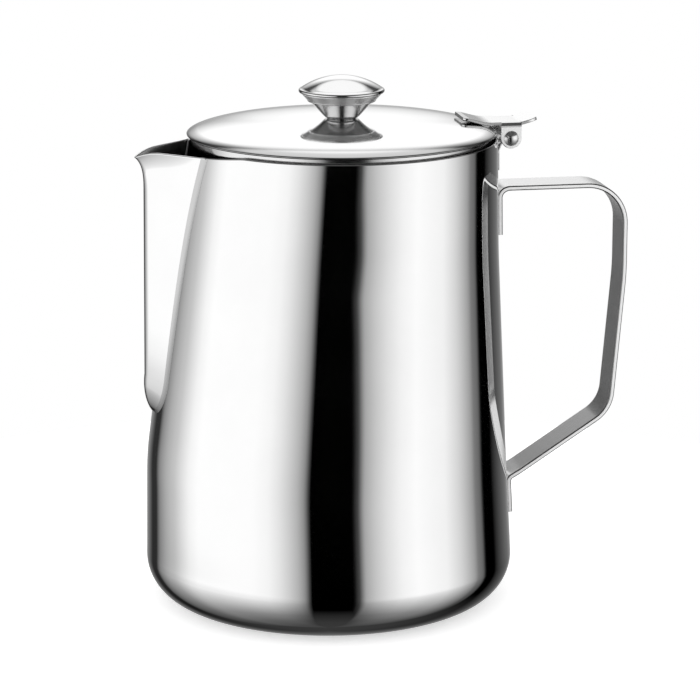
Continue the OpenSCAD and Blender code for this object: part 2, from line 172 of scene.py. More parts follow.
def bands(count, n):
    """Faces between count closed rings of n points."""
    faces = []
    for j in range(count - 1):
        for i in range(n):
            k = (i + 1) % n
            faces.append((j * n + i, j * n + k, (j + 1) * n + k, (j + 1) * n + i))
    return faces


def loft(rings):
    """Points and faces of a skin over closed rings with equal counts, closed at both ends."""
    n = len(rings[0])
    verts = [p for ring in rings for p in ring]
    faces = bands(len(rings), n)
    faces.append(tuple(range(n)))
    last = (len(rings) - 1) * n
    faces.append(tuple(last + i for i in range(n)))
    return verts, faces


def revolved(profile, centre, steps, axis="z"):
    """Turns a closed profile of (radius, height) points about an axis through centre."""
    verts, faces = [], []
    index = []
    for r, h in profile:
        row = []
        for i in range(steps if r > ON_AXIS else 1):
            a = TAU * i / steps
            if axis == "z":
                verts.append((centre[0] + r * math.cos(a), centre[1] + r * math.sin(a), centre[2] + h))
            else:
                verts.append((centre[0] + r * math.cos(a), centre[1] + h, centre[2] + r * math.sin(a)))
            row.append(len(verts) - 1)
        index.append(row)
    for j in range(len(profile)):
        a, b = index[j], index[(j + 1) % len(profile)]
        if len(a) == 1 and len(b) == 1:
            continue
        for i in range(steps):
            k = (i + 1) % steps
            if len(a) == 1:
                faces.append((a[0], b[k], b[i]))
            elif len(b) == 1:
                faces.append((a[i], a[k], b[0]))
            else:
                faces.append((a[i], a[k], b[k], b[i]))
    return verts, faces


def arc(cx, cy, r, a0, a1, n):
    """Points on an arc, angles in degrees."""
    return [
        (cx + r * math.cos(math.radians(a0 + (a1 - a0) * k / n)),
         cy + r * math.sin(math.radians(a0 + (a1 - a0) * k / n)))
        for k in range(n + 1)
    ]


def span(a, b, n, skip_first=False):
    """n steps from a to b."""
    return [a + (b - a) * k / n for k in range(1 if skip_first else 0, n + 1)]


def cap_points(r, centre_h, reach, n):
    """Points from the top of a sphere down to where its radius is reach."""
    sweep = math.asin(reach / r)
    return [(r * math.sin(a), centre_h + r * math.cos(a)) for a in span(0, sweep, n)]


def bent_path(points, radii, steps, straight):
    """Points of a flat path with rounded corners, each with its unit direction."""
    pts = [np.array(p, float) for p in points]
    out = []

    def unit(v):
        return v / np.linalg.norm(v)

    def add_line(a, b):
        d = unit(b - a)
        n = max(1, int(np.linalg.norm(b - a) / straight))
        for k in range(n + 1):
            out.append((a + (b - a) * k / n, d))

    start = pts[0]
    for i in range(1, len(pts) - 1):
        a, b, c = pts[i - 1], pts[i], pts[i + 1]
        u, v = unit(b - a), unit(c - b)
        turn = math.atan2(u[0] * v[1] - u[1] * v[0], float(u @ v))
        r = radii[i - 1]
        tan_len = r * math.tan(abs(turn) / 2)
        p = b - u * tan_len
        add_line(start, p)
        side = 1 if turn > 0 else -1
        centre = p + side * r * np.array([-u[1], u[0]])
        for k in range(1, steps):
            t = turn * k / steps
            arm = p - centre
            rot = np.array([[math.cos(t), -math.sin(t)], [math.sin(t), math.cos(t)]])
            out.append((centre + rot @ arm, rot @ u))
        start = b + v * tan_len
    add_line(start, pts[-1])
    return out


def strip_rings(path, half_w, thick, edge_r, edge_steps):
    """Rounded cross-sections of a strip along a path in x and height."""
    rings = []
    for p, d in path:
        normal = np.array([-d[1], d[0]])
        ring = []
        for sy, sn, a0 in ((1, 1, 0), (-1, 1, 90), (-1, -1, 180), (1, -1, 270)):
            for e in range(edge_steps + 1):
                a = math.radians(a0 + 90 * e / edge_steps)
                y = sy * (half_w - edge_r) + edge_r * math.cos(a)
                t = sn * (thick / 2 - edge_r) + edge_r * math.sin(a)
                q = p + normal * t
                ring.append((q[0], y, q[1]))
        rings.append(ring)
    return rings


# Materials
CLOUD_SCALE = 34.0
CLOUD_TINT = 0.965
POLISH_FROM = 0.3
POLISH_TO = 0.72
TINT_FROM = 0.25
TINT_TO = 0.75
LINE_SCALE = 900
LINE_SHARE = 0.9
WAVE_SCALE = 22.0
WAVE_DEPTH = 0.00002
UPRIGHT = (1, 1, 0.05)
ALONG_STRIP = (1, 0.04, 1)
ACROSS_STRIP = (0.1, 1, 0.1)
TURNED = (0.08, 0.08, 1)


def node_material(name):
    mat = bpy.data.materials.new(name)
    mat.use_nodes = True
    nt = mat.node_tree
    return mat, nt, nt.nodes["Principled BSDF"]


def add(nt, kind, **inputs):
    node = nt.nodes.new(kind)
    for key, value in inputs.items():
        node.inputs[key.replace("_", " ")].default_value = value
    return node


def ramp(nt, stops):
    """stops are (place, grey)."""
    node = nt.nodes.new("ShaderNodeValToRGB")
    els = node.color_ramp.elements
    while len(els) < len(stops):
        els.new(0.5)
    for el, (p, v) in zip(els, sorted(stops)):
        el.position = p
        el.color = (v, v, v, 1)
    return node


def grey(v):
    return (v, v, v)


def steel(name, tint, rough_low, rough_high, line_axis=None, line_depth=0.0, wave_depth=0.0, metal=1.0):
    """Stainless steel: slight cloudy change in polish, fine drawing or turning lines, faint waviness."""
    mat, nt, bsdf = node_material(name)
    bsdf.inputs["Metallic"].default_value = metal
    where = nt.nodes.new("ShaderNodeTexCoord")
    cloud = add(nt, "ShaderNodeTexNoise", Scale=CLOUD_SCALE, Detail=4.0, Roughness=0.6)
    nt.links.new(where.outputs["Object"], cloud.inputs["Vector"])
    polish = ramp(nt, ((POLISH_FROM, rough_low), (POLISH_TO, rough_high)))
    nt.links.new(cloud.outputs["Fac"], polish.inputs["Fac"])
    shade = nt.nodes.new("ShaderNodeValToRGB")
    shade.color_ramp.elements[0].position = TINT_FROM
    shade.color_ramp.elements[0].color = (*[c * CLOUD_TINT for c in tint], 1)
    shade.color_ramp.elements[1].position = TINT_TO
    shade.color_ramp.elements[1].color = (*tint, 1)
    nt.links.new(cloud.outputs["Fac"], shade.inputs["Fac"])
    nt.links.new(shade.outputs["Color"], bsdf.inputs["Base Color"])
    height = None
    if line_axis:
        stretch = nt.nodes.new("ShaderNodeMapping")
        stretch.inputs["Scale"].default_value = line_axis
        nt.links.new(where.outputs["Object"], stretch.inputs["Vector"])
        lines = add(nt, "ShaderNodeTexNoise", Scale=LINE_SCALE, Detail=3.0, Roughness=0.65)
        nt.links.new(stretch.outputs["Vector"], lines.inputs["Vector"])
        rub = nt.nodes.new("ShaderNodeMath")
        rub.operation = "MULTIPLY_ADD"
        rub.inputs[1].default_value = (rough_high - rough_low) * LINE_SHARE
        nt.links.new(lines.outputs["Fac"], rub.inputs[0])
        nt.links.new(polish.outputs["Color"], rub.inputs[2])
        nt.links.new(rub.outputs["Value"], bsdf.inputs["Roughness"])
        height = add(nt, "ShaderNodeBump", Strength=1.0, Distance=line_depth)
        nt.links.new(lines.outputs["Fac"], height.inputs["Height"])
    else:
        nt.links.new(polish.outputs["Color"], bsdf.inputs["Roughness"])
    if wave_depth:
        wave = add(nt, "ShaderNodeTexNoise", Scale=WAVE_SCALE, Detail=1.0, Roughness=0.4)
        nt.links.new(where.outputs["Object"], wave.inputs["Vector"])
        swell = add(nt, "ShaderNodeBump", Strength=1.0, Distance=wave_depth)
        nt.links.new(wave.outputs["Fac"], swell.inputs["Height"])
        if height:
            nt.links.new(height.outputs["Normal"], swell.inputs["Normal"])
        height = swell
    if height:
        nt.links.new(height.outputs["Normal"], bsdf.inputs["Normal"])
    return mat


mirror_steel = steel("mirror_steel", grey(0.9), 0.03, 0.055, wave_depth=WAVE_DEPTH)
inner_steel = steel("inner_steel", grey(0.62), 0.22, 0.32, UPRIGHT, 0.000004)
# Dark steel is painted shade: along the cut edge of the opening behind the spout and under the lid's rolled
# edge
edge_shade_painted_steel = steel("edge_shade_painted_steel", grey(0.22), 0.3, 0.42)
lid_steel = steel("lid_steel", grey(0.9), 0.065, 0.095, wave_depth=WAVE_DEPTH)
skirt_steel = steel("skirt_steel", grey(0.78), 0.12, 0.17)
strip_steel = steel("strip_steel", grey(0.86), 0.08, 0.13, ALONG_STRIP, 0.000003)
grip_steel = steel("grip_steel", grey(0.78), 0.2, 0.25, ACROSS_STRIP, 0.0000012, metal=0.87)
# Dark steel: painted shade along the handle strip's rounded edges
rounding_painted_shade_steel = steel("rounding_painted_shade_steel", grey(0.3), 0.12, 0.18)
# Near-white, mostly diffuse steel: a painted highlight on the handle strip's flat edges and the thumb plate's
# ear sides
edge_painted_highlight_steel = steel("edge_painted_highlight_steel", grey(0.99), 0.14, 0.2, ACROSS_STRIP, 0.000001, metal=0.12)
knob_steel = steel("knob_steel", grey(0.9), 0.06, 0.09, TURNED, 0.000001)
turned_steel = steel("turned_steel", grey(0.85), 0.13, 0.17, TURNED, 0.000003)
rivet_steel = steel("rivet_steel", grey(0.88), 0.15, 0.2, (1, 0.1, 1), 0.000002)
flange_steel = steel("flange_steel", grey(0.84), 0.2, 0.3, TURNED, 0.000003, metal=0.78)
seam_steel = steel("seam_steel", grey(0.62), 0.18, 0.3, UPRIGHT, 0.000005)
plain_steel = steel("plain_steel", (0.55, 0.55, 0.56), 0.28, 0.4, (1, 1, 0.1), 0.000008)

# Painted shade on the lid: share of its tint by the distance from its axis in millimetres, darker towards the
# edge
LID_PAINTED_SHADE = ((0, 1), (52, 1), (53.6, 0.68), (56, 0.6))
LID_PAINTED_SHADE_REACH = 64


def paint_shade_by_radius(mat, centre_x, stops, reach):
    """Paints shade into the tint, darker with the distance from an upright axis. stops are (millimetres,
    share).
    """
    nt = mat.node_tree
    tint = nt.nodes["Principled BSDF"].inputs["Base Color"]
    shade = tint.links[0].from_socket
    where = nt.nodes.new("ShaderNodeTexCoord")
    flat = nt.nodes.new("ShaderNodeVectorMath")
    flat.operation = "MULTIPLY_ADD"
    flat.inputs[1].default_value = (1, 1, 0)
    flat.inputs[2].default_value = (-centre_x * MM, 0, 0)
    nt.links.new(where.outputs["Object"], flat.inputs[0])
    away = nt.nodes.new("ShaderNodeVectorMath")
    away.operation = "LENGTH"
    nt.links.new(flat.outputs["Vector"], away.inputs[0])
    share = nt.nodes.new("ShaderNodeMath")
    share.operation = "MULTIPLY"
    share.inputs[1].default_value = 1 / (reach * MM)
    nt.links.new(away.outputs["Value"], share.inputs[0])
    painted_fall = ramp(nt, [(r / reach, v) for r, v in stops])
    nt.links.new(share.outputs["Value"], painted_fall.inputs["Fac"])
    both = nt.nodes.new("ShaderNodeVectorMath")
    both.operation = "MULTIPLY"
    nt.links.new(shade, both.inputs[0])
    nt.links.new(painted_fall.outputs["Color"], both.inputs[1])
    nt.links.new(both.outputs["Vector"], tint)


# The lid's tint is darkened towards its edge: painted shade
paint_shade_by_radius(lid_steel, MOUTH_X, LID_PAINTED_SHADE, LID_PAINTED_SHADE_REACH)


# Body: a thin leaning shell with an opening behind the spout
BACK_STEPS = 180
FINE_STEPS = 88
FINE_HALF = 22
FLOOR_RINGS = (20, 38)
CORNER_END = 1.9
CORNER_STEPS = 18
LOW_STEPS = 26
HIGH_STEPS = 44
UNDER_OPENING = 4
EDGE_SEARCH = 0.1
NEAR_EDGE = 0.35
EDGE_STEPS = 6
INSIDE_SPOUT = 0.4
ABOVE_FOOT = 3
CUT_SHADE_BAND = 0.75
CUT_SHADE_FOOT = 0.6


def rim_top(theta):
    """Height of the rim, which dips where the spout joins it."""
    x = MOUTH_X + MOUTH_R * math.cos(theta)
    y = abs(MOUTH_R * math.sin(theta))
    if x > -MOUTH_R / 2:
        return RIM_H
    return min(RIM_H, RIM_H - DIP + DIP_R - math.sqrt(DIP_R * DIP_R - y * y))


def open_half(h):
    """Half the width of the opening."""
    if h < OPEN_FOOT_H:
        return math.sqrt(max(0.0, OPEN_FOOT_R ** 2 - (OPEN_FOOT_H - h) ** 2))
    return OPEN_FOOT_R + (OPEN_TOP_HALF - OPEN_FOOT_R) * (h - OPEN_FOOT_H) / (OPEN_TOP_H - OPEN_FOOT_H)


def wall_top(theta):
    """Height of the wall's edge: the rim, or the edge of the opening."""
    top = rim_top(theta)
    if math.cos(theta) > 0:
        return top
    for h in np.arange(OPEN_FOOT_H - OPEN_FOOT_R, top, EDGE_SEARCH):
        if abs(body_r(h) * math.sin(theta)) < open_half(h):
            return float(h)
    return top


def body_point(theta, h, inset):
    """A point of the wall at a height, inset from the outside."""
    r = body_r(h) - inset
    return (body_x(h) + r * math.cos(theta), r * math.sin(theta), h)


def body_side(inset, angles, tops):
    """Rows of points up one side of the sheet, from the floor to the edge."""
    corner = arc(BASE_R - CORNER_R, CORNER_R, CORNER_R - inset, -90, CORNER_END, CORNER_STEPS)
    rows = []
    for r, h in [(r, inset) for r in FLOOR_RINGS] + corner:
        rows.append([(body_x(h) + r * math.cos(a), r * math.sin(a), h) for a in angles])
    corner_top = CORNER_R * (1 + math.sin(math.radians(CORNER_END)))
    split = OPEN_FOOT_H - OPEN_FOOT_R - UNDER_OPENING
    for h in span(corner_top, split, LOW_STEPS, True):
        rows.append([body_point(a, h, inset) for a in angles])
    for s in span(0, 1, HIGH_STEPS, True):
        rows.append([body_point(a, split + (t - WALL / 2 - split) * s, inset) for a, t in zip(angles, tops)])
    rows.insert(-1, [body_point(a, t - WALL / 2 - NEAR_EDGE, inset) for a, t in zip(angles, tops)])
    return rows


def body_finish_and_painted_shade(c, _):
    """2 on the cut edge of the opening, in dark steel that paints shade there; 1 inside the jug or the spout,
    0 outside.
    """
    h = max(c.z, 0.01)
    if h < CORNER_R:
        away = math.hypot(c.x, c.y)
        cx = BASE_R - CORNER_R
        in_corner = math.hypot(away - cx, CORNER_R - h) < CORNER_R - WALL / 2
        inside = c.z > WALL / 2 and (away < cx or in_corner)
    else:
        inside = math.hypot(c.x - body_x(h), c.y) < body_r(h) - WALL / 2
    in_spout = c.x < 0 and SPOUT_FOOT + ABOVE_FOOT < h < SPOUT_RIM and abs(c.y) < seam_half(h) - INSIDE_SPOUT
    at_opening = h > OPEN_FOOT_H - OPEN_FOOT_R - CUT_SHADE_FOOT and abs(abs(c.y) - open_half(h)) < CUT_SHADE_BAND
    if in_spout and at_opening:
        return 2
    return 1 if inside or in_spout else 0


def make_body():
    start, end = 180 - FINE_HALF, 180 + FINE_HALF
    degrees = span(-start, start, BACK_STEPS) + span(start, end, FINE_STEPS, True)[:-1]
    angles = [math.radians(d) for d in degrees]
    tops = [wall_top(a) for a in angles]
    edge = []
    for k in range(1, EDGE_STEPS):
        a0 = math.pi * k / EDGE_STEPS
        depth = WALL / 2 * (1 - math.cos(a0))
        lift = WALL / 2 * math.sin(a0)
        edge.append([body_point(a, t - WALL / 2 + lift, depth) for a, t in zip(angles, tops)])
    rows = body_side(0.0, angles, tops) + edge + body_side(WALL, angles, tops)[::-1]
    n = len(angles)
    verts = [p for row in rows for p in row]
    faces = bands(len(rows), n)
    under = len(verts)
    floor_in = under + 1
    verts.append((0, 0, 0))
    verts.append((0, 0, WALL))
    last = (len(rows) - 1) * n
    for i in range(n):
        k = (i + 1) % n
        faces.append((under, i, k))
        faces.append((floor_in, last + k, last + i))
    body = new_piece("body_shell", verts, faces, "jug", ("jug_body",), mirror_steel,
                     BODY_SHARP)
    dress(body, (inner_steel, edge_shade_painted_steel), body_finish_and_painted_shade)


# Spout: a folded sheet with a round front edge and a flared lip
SPOUT_FOOT = 71.7
SPOUT_RISE = 14.3
SPOUT_RIM = 168.3
LIP_H = 15.0
SPOUT_SHOULDER = SPOUT_FOOT + SPOUT_RISE
SPOUT_LIP = SPOUT_RIM - LIP_H
SPOUT_WALL = 0.8
SPOUT_GAP = 0.12
SEAM_HALF = 13.5
SEAM_FLARE = 7.9
FLARE_STRAIGHT = 0.18
FRONT_STAND = 5
FRONT_LEAN = 0.8
FRONT_BEND = 0.75
LIP_REACH = 3.5
NOSE_R = 6.5
NOSE_LOSS = 4.5
NOSE_LOSS_BEND = 1.5
NOSE_FILL = 0.3
DROOP = 2.6
DROOP_RUN = 8.5
FLANK_STEPS = 10
NOSE_STEPS = 9
FOOT_SWEEP = (7, 88, 18)
UPRIGHT_STEPS = 26
LIP_STEPS = 16
LIP_EDGE = 0.6
FACES_HANDLE = 0.12
FINISH_MARGIN = 1.2
FINISH_FOOT = 0.4
FINISH_RIM = 0.3
FINISH_TOP = 0.2
SEAM_W = 1.7
SEAM_FOOT = 0.5
SEAM_FILL = 0.45
SEAM_LIFT = 0.02
SEAM_SINK = 0.25
SEAM_SINK_WALL = 0.1
SEAM_FULL = 0.15
SEAM_STEPS = 6


def foot_fill(h):
    return 1 - ((SPOUT_SHOULDER - h) / SPOUT_RISE) ** 2 if h < SPOUT_SHOULDER else 1.0


def flank_rise(h):
    return max(0.0, h - SPOUT_SHOULDER) / (SPOUT_RIM - SPOUT_SHOULDER)


def lip_share(h):
    return max(0.0, h - SPOUT_LIP) / LIP_H


def seam_half(h):
    """Half the width of the spout where it meets the wall."""
    s = flank_rise(h)
    flare = FLARE_STRAIGHT * s + (1 - FLARE_STRAIGHT) * s ** 3
    return math.sqrt(foot_fill(h)) * SEAM_HALF + flare * SEAM_FLARE


def seam_x(h, y):
    return body_x(h) - math.sqrt((body_r(h) + SPOUT_GAP) ** 2 - y * y)


def front_x(h):
    root = seam_x(SPOUT_SHOULDER, 0)
    stand = root - FRONT_STAND + FRONT_LEAN * flank_rise(h)
    if h < SPOUT_SHOULDER:
        return seam_x(h, 0) + (stand - root) * foot_fill(h) ** FRONT_BEND
    return stand - LIP_REACH * lip_share(h) ** 3


def nose_r(h):
    fill = math.sqrt(foot_fill(h))
    return (NOSE_R - NOSE_LOSS * lip_share(h) ** NOSE_LOSS_BEND) * min(1.0, fill / NOSE_FILL)


def half_level(h):
    """Points of one side of the spout from the seam to the front, each with its outward direction."""
    seam = np.array([seam_x(h, seam_half(h)), seam_half(h)])
    r = nose_r(h)
    centre = np.array([front_x(h) + r, 0.0])
    arm = seam - centre
    face = math.atan2(arm[1], arm[0]) + math.acos(min(1.0, r / math.hypot(*arm)))
    out = np.array([math.cos(face), math.sin(face)])
    tangent = centre + r * out
    pts = [(seam + (tangent - seam) * k / FLANK_STEPS, out) for k in range(FLANK_STEPS)]
    for k in range(NOSE_STEPS):
        a = face + (math.pi - face) * k / NOSE_STEPS
        d = np.array([math.cos(a), math.sin(a)])
        pts.append((centre + r * d, d))
    return pts


def spout_level(h):
    half = half_level(h)
    tip = [(np.array([front_x(h), 0.0]), np.array([-1.0, 0.0]))]
    back = [(p * (1, -1), d * (1, -1)) for p, d in half[::-1]]
    return half + tip + back


def droop(x, h):
    """How far the lip sinks towards its tip."""
    run = max(0.0, front_x(SPOUT_RIM) + DROOP_RUN - x) / DROOP_RUN
    return DROOP * lip_share(h) * run * run


def spout_levels():
    foot = [SPOUT_SHOULDER - SPOUT_RISE * math.cos(math.radians(a)) for a in span(*FOOT_SWEEP)]
    flank = span(SPOUT_SHOULDER, SPOUT_LIP, UPRIGHT_STEPS)
    lip = span(SPOUT_LIP, SPOUT_RIM - LIP_EDGE, LIP_STEPS, True)
    return foot + flank + lip + [SPOUT_RIM - SPOUT_WALL / 2]


def off_wall(p, h):
    """Keeps a point clear of the wall."""
    d = p - np.array([body_x(h), 0.0])
    n = np.linalg.norm(d)
    r = body_r(h) + SPOUT_GAP
    return np.array([body_x(h), 0.0]) + d / n * r if n < r else p


def spout_finish(c, normal):
    """1 on the inner side of the sheet, 0 outside."""
    h = c.z
    if c.z > SPOUT_LIP:
        h += droop(c.x, min(c.z + 1, SPOUT_RIM))
    h = max(SPOUT_FOOT + FINISH_FOOT, min(SPOUT_RIM - FINISH_RIM, h))
    between = abs(c.y) < seam_half(h) - FINISH_MARGIN and c.z < SPOUT_RIM - FINISH_TOP
    return 1 if normal.x > FACES_HANDLE and between else 0


def make_spout():
    outer, inner = [], []
    for h in spout_levels():
        level = spout_level(h)
        outer.append([(p[0], p[1], h - droop(p[0], h)) for p, d in level])
        row = []
        for p, d in level:
            q = off_wall(p - SPOUT_WALL * d, h)
            row.append((q[0], q[1], h - droop(p[0], h)))
        inner.append(row)
    edge = []
    for k in range(1, EDGE_STEPS):
        a = math.pi * k / EDGE_STEPS
        lift = np.array([0, 0, SPOUT_WALL / 2]) * math.sin(a)
        row = []
        for o, i in zip(outer[-1], inner[-1]):
            o, i = np.array(o), np.array(i)
            row.append(tuple((o + i) / 2 + (o - i) / 2 * math.cos(a) + lift))
        edge.append(row)
    rows = outer + edge + inner[::-1]
    count = len(rows)
    n = len(rows[0])
    verts = [p for row in rows for p in row]
    faces = []
    for j in range(count):
        j2 = (j + 1) % count
        for i in range(n - 1):
            faces.append((j * n + i, j * n + i + 1, j2 * n + i + 1, j2 * n + i))
    for col in (0, n - 1):
        for a in range(count // 2):
            b = count - 1 - a
            if b - a < 2:
                break
            if b - a == 2:
                faces.append((a * n + col, (a + 1) * n + col, b * n + col))
                break
            faces.append((a * n + col, (a + 1) * n + col, (b - 1) * n + col, b * n + col))
    piece = new_piece("spout_sheet", verts, faces, "jug", ("spout",), mirror_steel,
                      SHEET_SHARP)
    dress(piece, (inner_steel,), spout_finish)


def make_seam(side):
    """The polished weld: a narrow hollow blend between the spout's flank and the wall."""
    rings = []
    for h in [h for h in spout_levels() if h > SPOUT_FOOT + SEAM_FOOT]:
        width = SEAM_W * min(1.0, math.sqrt(foot_fill(h)) / SEAM_FILL)
        half = half_level(h)
        seam, out = half[0]
        along = half[1][0] - seam
        along = along / np.linalg.norm(along)
        centre = np.array([body_x(h), 0.0])
        radial = (seam - centre) / np.linalg.norm(seam - centre)
        away = np.array([radial[1], -radial[0]])
        turn = width / body_r(h)
        wall_dir = radial * math.cos(turn) + away * math.sin(turn)
        a = seam + along * width + out * SEAM_LIFT
        b = centre + wall_dir * (body_r(h) + SEAM_LIFT)
        bend = seam * (1 - SEAM_FULL) + (a + b) / 2 * SEAM_FULL
        root = seam - out * SEAM_SINK - radial * SEAM_SINK_WALL
        ring = []
        for t in span(0, 1, SEAM_STEPS):
            q = a * (1 - t) ** 2 + bend * 2 * t * (1 - t) + b * t * t
            ring.append((q[0], side * q[1], h))
        ring.append((root[0], side * root[1], h))
        rings.append(ring)
    verts, faces = loft(rings)
    name = "spout_seam_left" if side < 0 else "spout_seam_right"
    new_piece(name, verts, faces, "jug", None, seam_steel, SHEET_SHARP)


# Handle: one bent strip whose tabs lie round the wall
STRIP_GAP = 0.05
HUG_REACH = 2.2
HANDLE_T = 1.8
HANDLE_DROP = 18.4
HANDLE_REACH = 48.6
KNEE_DROP = 34.1
HEEL_DROP = 85.7
GRIP_LEAN = 4.9
ARM_SLOPE = 33.3
TOP_TAB = 18
LOW_TAB = 12.9
HANDLE_BENDS = (3.5, 14.4, 120, 13, 2.5)
HANDLE_BEND_STEPS = 18
HANDLE_STEP = 1.2
HANDLE_EDGE = 0.6
HANDLE_EDGE_STEPS = 6
HANDLE_HUG = 3.0
FLAT_EDGE = 0.95
ROUNDED_EDGE = 0.3
WALL_FROM = 17
WALL_TO = 170


def strip_x(h, t):
    return wall_x(h) + STRIP_GAP + t / 2


def hug(rings, fade):
    """Bends the strip's edges inwards where it lies on the wall, and less over a run of fade."""
    out = []
    for ring in rings:
        row = []
        for x, y, z in ring:
            h = min(max(z, WALL_FROM), WALL_TO)
            near = x - wall_x(h)
            r = body_r(h)
            weight = 1.0 if near < HUG_REACH else max(0.0, 1 - (near - HUG_REACH) / fade)
            row.append((x - (r - math.sqrt(r * r - y * y)) * weight, y, z))
        out.append(row)
    return out


def handle_painted_light(_, normal):
    """1 on the strip's flat edges, painted as a highlight; 2 on their roundings, painted as shade; 0 on its
    wide faces.
    """
    if abs(normal.y) > FLAT_EDGE:
        return 1
    return 2 if abs(normal.y) > ROUNDED_EDGE else 0


def make_handle():
    t = HANDLE_T
    top = RIM_H - HANDLE_DROP
    run = top - t / 2
    grip = wall_x(run) + HANDLE_REACH - t / 2
    knee = top - KNEE_DROP
    heel = top - HEEL_DROP
    heel_x = grip - (knee - heel) * math.tan(math.radians(GRIP_LEAN))
    toe = heel - (heel_x - strip_x(heel / 2, t)) * math.tan(math.radians(ARM_SLOPE))
    points = [
        (strip_x(top - TOP_TAB, t), top - TOP_TAB), (strip_x(run, t), run), (grip, run), (grip, knee),
        (heel_x, heel), (strip_x(toe, t), toe), (strip_x(toe - LOW_TAB, t), toe - LOW_TAB),
    ]
    path = bent_path(points, HANDLE_BENDS, HANDLE_BEND_STEPS, HANDLE_STEP)
    rings = hug(strip_rings(path, PLATE_W / 2, t, HANDLE_EDGE, HANDLE_EDGE_STEPS), HANDLE_HUG)
    verts, faces = loft(rings)
    piece = new_piece("handle_strip", verts, faces, "jug", ("handle",), grip_steel,
                      STRIP_SHARP)
    dress(piece, (edge_painted_highlight_steel, rounding_painted_shade_steel), handle_painted_light)
    weighted(piece)


# Hinge
BRACKET_T = 0.9
BRACKET_PLAY = 0.25
BRACKET_FOOT = 12.7
BRACKET_KNEE = 5.3
BRACKET_BEND = 1.6
BRACKET_BEND_STEPS = 8
BRACKET_STEP = 0.8
BRACKET_EDGE = 0.18
BRACKET_EDGE_STEPS = 2
BRACKET_HUG = 2.0
PIN_PLAY = 0.06
PIN_END = 0.05
CURL = 322
CURL_STEPS = 43
HEAD_R = 2.75
HEAD_H = 1.3
HEAD_ROUND = 0.13
HEAD_STEPS = 10
PIN_SHOULDER = 0.3
PIN_SIDES = 48


def make_bracket():
    t = BRACKET_T
    half = PLATE_W / 2 - PLATE_T - BRACKET_PLAY
    ring_r = PIN_R + PIN_PLAY + t / 2
    pin = np.array([PIN_X, PIN_H])
    foot = np.array([strip_x(RIM_H - BRACKET_FOOT, t), RIM_H - BRACKET_FOOT])
    knee = np.array([strip_x(RIM_H - BRACKET_KNEE, t), RIM_H - BRACKET_KNEE])
    arm = knee - pin
    touch = math.atan2(arm[1], arm[0]) - math.acos(ring_r / math.hypot(*arm))
    end = pin + ring_r * np.array([math.cos(touch), math.sin(touch)])
    path = bent_path([foot, knee, end], (BRACKET_BEND,), BRACKET_BEND_STEPS, BRACKET_STEP)
    for k in range(1, CURL_STEPS + 1):
        a = touch - math.radians(CURL) * k / CURL_STEPS
        p = pin + ring_r * np.array([math.cos(a), math.sin(a)])
        path.append((p, np.array([math.sin(a), -math.cos(a)])))
    rings = hug(strip_rings(path, half, t, BRACKET_EDGE, BRACKET_EDGE_STEPS), BRACKET_HUG)
    verts, faces = loft(rings)
    piece = new_piece("bracket_strip", verts, faces, "jug", ("hinge_bracket",), strip_steel,
                      STRIP_SHARP)
    weighted(piece)


def make_pin():
    half = PLATE_W / 2 + PIN_END
    sphere_r = (HEAD_R ** 2 + HEAD_H ** 2) / (2 * HEAD_H)
    head = cap_points(sphere_r, HEAD_H - sphere_r, HEAD_R - HEAD_ROUND, HEAD_STEPS)
    head += [(HEAD_R - 0.03, 0.1), (HEAD_R - 0.05, 0.0)]
    profile = [(r, half + h) for r, h in head]
    profile += [(PIN_R, z) for z in (half, half - PIN_SHOULDER, -half + PIN_SHOULDER, -half)]
    profile += [(r, -half - h) for r, h in head[::-1]]
    verts, faces = revolved(profile, (PIN_X, 0, PIN_H), PIN_SIDES, "y")
    new_piece("hinge_rivet", verts, faces, "lid", ("hinge_pin",), rivet_steel, STRIP_SHARP)


# Thumb plate: a curved plate whose two ears are bent down round the pin
THUMB_RISE = 5.4
THUMB_FRONT = 17.8
THUMB_BACK = 9.6
FRONT_CURL = 2
BACK_CURL = 1.5
THUMB_BENDS = (1.2, 18, 7.5)
THUMB_BEND_STEPS = 12
THUMB_STEP = 0.5
THUMB_SEAT = 0.1
SLOPE_RUN = 0.8
EAR_R = 3.75
EAR_BEND = 1.9
EAR_EDGE = 0.3
EAR_MARGIN = 0.2
EAR_PAINTED_HIGHLIGHT_TURN = 0.9
EAR_PAINTED_HIGHLIGHT_DROP = 1.5
EAR_FAN = (9, 171, 18)
BEND_STEPS = 7
UNDER_STEP = 0.02
UNDER_END = 0.2
BACK_TAPER = 1.6
BACK_TAPER_START = 2
FRONT_TAPER = 0.7
FRONT_TAPER_RUN = 1.2


def rounded(y, down, r, degrees):
    """Points of a rounding, by the angle from straight up towards the side."""
    return [(y + r * math.sin(math.radians(a)), down - r * math.cos(math.radians(a))) for a in degrees]


def plain_section(w):
    """One side of the plate from the top round to the underside, as (side, drop)."""
    t, ease, n = PLATE_T, EAR_EDGE, BEND_STEPS
    pts = rounded(w - ease, ease, ease, span(0, 90, n))
    pts += [(w, ease + (t - 2 * ease) * s) for s in (0.5, 1)]
    pts += rounded(w - ease, t - ease, ease, (135, 180))
    pts += [(w - ease - UNDER_STEP * k, t) for k in (1, 2)]
    pts += [(w - ease - UNDER_STEP * 2 - (EAR_BEND - ease) * s, t) for s in span(0, 1, n + 1, True)]
    return pts + [(w - EAR_BEND - UNDER_END, t)]


def ear_section(w, drop):
    """The same points where the plate turns down into an ear of a given drop."""
    t, ease, bend, n = PLATE_T, EAR_EDGE, EAR_BEND, BEND_STEPS
    pts = rounded(w - bend, bend, bend, span(0, 90, n))
    pts += [(w, bend + (drop - ease - bend) * s) for s in (0.5, 1)]
    pts += rounded(w - ease, drop - ease, ease, (135, 180))
    pts += rounded(w - t + ease, drop - ease, ease, (180, 225, 270))
    return pts + rounded(w - bend, bend, bend - t, span(90, 0, n))


